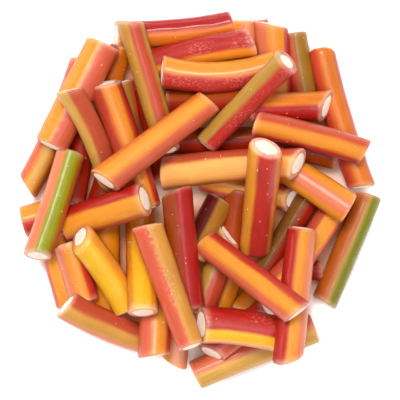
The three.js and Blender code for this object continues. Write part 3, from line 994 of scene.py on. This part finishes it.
# The filling: pale cream, matt and a little grainy, with a painted glow
def filling_material():
    shader = Shader("filling_cream")
    places = shader.millimetres()
    patches = shader.noise(places, *FILLING_NOISE)
    colour = shader.mix(shader.spread(patches, *FILLING_PATCHES), *FILLING_TONES)
    edge = shader.math("ADD", shader.held("edge"), shader.pattern(places, *FILLING_WAVER))
    colour = shader.mix(shader.spread(edge, *FILLING_EDGE_SHARES, smooth=True), colour, FILLING_EDGE)
    normal = shader.bump(shader.noise(places, *CRUMB_NOISE), *CRUMB_RELIEF)
    roughness = shader.spread(patches, *FILLING_ROUGHNESS)
    shader.set(Base_Color=colour, Roughness=roughness, Normal=normal, **FILLING_LIGHT_AND_GLOW)
    return shader.material


# Sugar: pale grains that let light through
def grain_material():
    shader = Shader("sugar")
    patches = shader.pattern(shader.millimetres(), *SUGAR_PATCHES)
    shader.set(Base_Color=shader.mix(patches, *SUGAR_TONES), **SUGAR_LIGHT)
    return shader.material


# The floor: nearly white, with painted shade and painted candy-coloured bounce light under the heap
def floor_material():
    shader = Shader("pale_floor")
    colour = shader.grey(shader.pattern(shader.millimetres(), *FLOOR_TONES))
    cover = shader.held("cover")
    # Painted shade and painted candy-coloured bounce light on the floor under the heap
    for shade_tint, low, high in PAINTED_HEAP_SHADE:
        colour = shader.mix(shader.spread(cover, low, high, 0, 1, smooth=True), colour, shade_tint)
    lit = shader.spread(cover, *FLOOR_LIT, smooth=True)
    light = shader.mix(lit, BLACK, colour)
    shader.set(Base_Color=colour, Roughness=FLOOR_ROUGHNESS, Emission_Color=light,
               Emission_Strength=FLOOR_LIGHT)
    return shader.material


# How much of the floor near each spot of its fine part lies below the heap, from 0 to 1
def floor_cover(items, shift):
    ticks = np.arange(-FLOOR_FINE, FLOOR_FINE + 1)
    x, y = np.meshgrid(ticks, ticks)
    covered = np.zeros(x.shape, bool)
    for item in items:
        for ball, radius in zip(item.balls + shift, item.radii):
            covered |= (x - ball[0]) ** 2 + (y - ball[1]) ** 2 < radius ** 2
    reach = BLUR_REACH * COVER_BLUR
    steps = np.arange(-reach, reach + 1)
    weights = np.exp(-(steps / COVER_BLUR) ** 2 / 2)
    weights /= weights.sum()
    cover = covered.astype(float)
    for axis in (0, 1):
        cover = np.apply_along_axis(np.convolve, axis, cover, weights, "same")
    return cover


# A wide floor, fine near the heap, that holds the heap's cover at its points
def add_floor(items, shift):
    fine = np.arange(-FLOOR_FINE, FLOOR_FINE + 1)
    ticks = np.concatenate([np.negative(FLOOR_COARSE[::-1]), fine, FLOOR_COARSE])
    x, y = np.meshgrid(ticks, ticks)
    count = len(ticks)
    corner = (np.arange(count - 1)[:, None] * count + np.arange(count - 1)[None]).reshape(-1)
    faces = np.stack([corner, corner + 1, corner + count + 1, corner + count], 1)
    mesh = bpy.data.meshes.new("floor")
    points = np.stack([x, y, np.zeros(x.shape)], -1).reshape(-1, 3) * MM
    mesh.from_pydata(points.tolist(), [], faces.tolist())
    add_numbers(mesh, "cover", np.pad(floor_cover(items, shift), len(FLOOR_COARSE)))
    mesh.materials.append(floor_material())
    floor = add_object("floor", mesh)


# A rectangular lamp that points at the heap
def add_lamp(name, place, size, power):
    light = bpy.data.lights.new(name, "AREA")
    light.shape = "RECTANGLE"
    light.size, light.size_y = size
    light.energy = power
    lamp = add_object(name, light)
    lamp.location = place
    lamp.rotation_euler = (-Vector(place)).to_track_quat("-Z", "Y").to_euler()


# The lamps and an even white studio round them
def add_lights():
    for name, (place, size, power) in LAMPS.items():
        add_lamp(name, place, size, power)
    world = bpy.data.worlds.new("studio")
    bpy.context.scene.world = world
    world.use_nodes = True
    background = world.node_tree.nodes["Background"].inputs
    background["Color"].default_value = WHITE
    background["Strength"].default_value = STUDIO_LIGHT


# The camera looks straight down from above the photograph's middle
def add_camera(shift):
    data = bpy.data.cameras.new("camera")
    data.sensor_width = SENSOR_WIDTH
    data.lens = SENSOR_WIDTH * CAMERA_HEIGHT / (PHOTO_PIXELS * GROUND_SCALE)
    camera = add_object("camera", data)
    camera.location = (shift[0] * MM, shift[1] * MM, CAMERA_HEIGHT * MM)
    bpy.context.scene.camera = camera


# The sticks by the colour that shows most on them, with how glossy each kind's coat is and how much
# its gloss is blurred
KINDS = {
    "amber_sticks": (("amber", "orange", "honey"), 1.0, 0.19),
    "red_sticks": (("crimson", "cherry", "plum", "rust", "bronze"), 1.0, 0.12),
    "coral_sticks": (("coral", "brick", "salmon"), 0.85, 0.21),
    "gold_sticks": (("gold", "olive", "moss", "green", "yellow"), 0.9, 0.19),
    "shaded_sticks": (("wine", "umber", "ochre", "khaki"), 0.35, 0.2),
}


# The stripe that takes most of a stick's seen width
def main_colour(row):
    edges = [-math.pi / 2, *row.borders, math.pi / 2]
    widths = [math.sin(stop) - math.sin(start) for start, stop in zip(edges, edges[1:])]
    return row.bands[int(np.argmax(widths))]


# A coat's points without its relief
def coat_outline(item):
    along, inset, radius = coat_rings(item)
    angles = np.linspace(-math.pi, math.pi, SIDES + 1)[None]
    radii = (radius - inset)[:, None] * np.ones_like(angles)
    return ring_points(item, along, radii, angles).reshape(-1, 3)


laid = lay_all()
corners = np.concatenate([coat_outline(item) for item in laid])
heap_low, heap_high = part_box("licorice_heap")
target = np.array((heap_low + heap_high) / 2) / MM
shift = target - (corners.min(0) + corners.max(0)) / 2
shift[2] = heap_low[2] / MM - GROUND_PRESS

pieces = []
for kind, (colours, gloss, blur) in KINDS.items():
    chosen = [item for item in laid if main_colour(item.row) in colours]
    coats = coat_object(kind, chosen, shift)
    coats.data.materials.append(coat_material(kind + "_coat", gloss, blur))
    pieces.append(coats)

filling = filling_object("cream_fillings", laid, shift)
filling.data.materials.append(filling_material())
pieces.append(filling)

grains = grains_object("sugar_grains", laid, shift)
grains.data.materials.append(grain_material())
pieces.append(grains)

for piece in pieces:
    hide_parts("licorice_heap")
    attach(piece, "root")

add_floor(laid, shift)
add_lights()
add_camera(shift)
bpy.context.scene.view_settings.view_transform = "Standard"
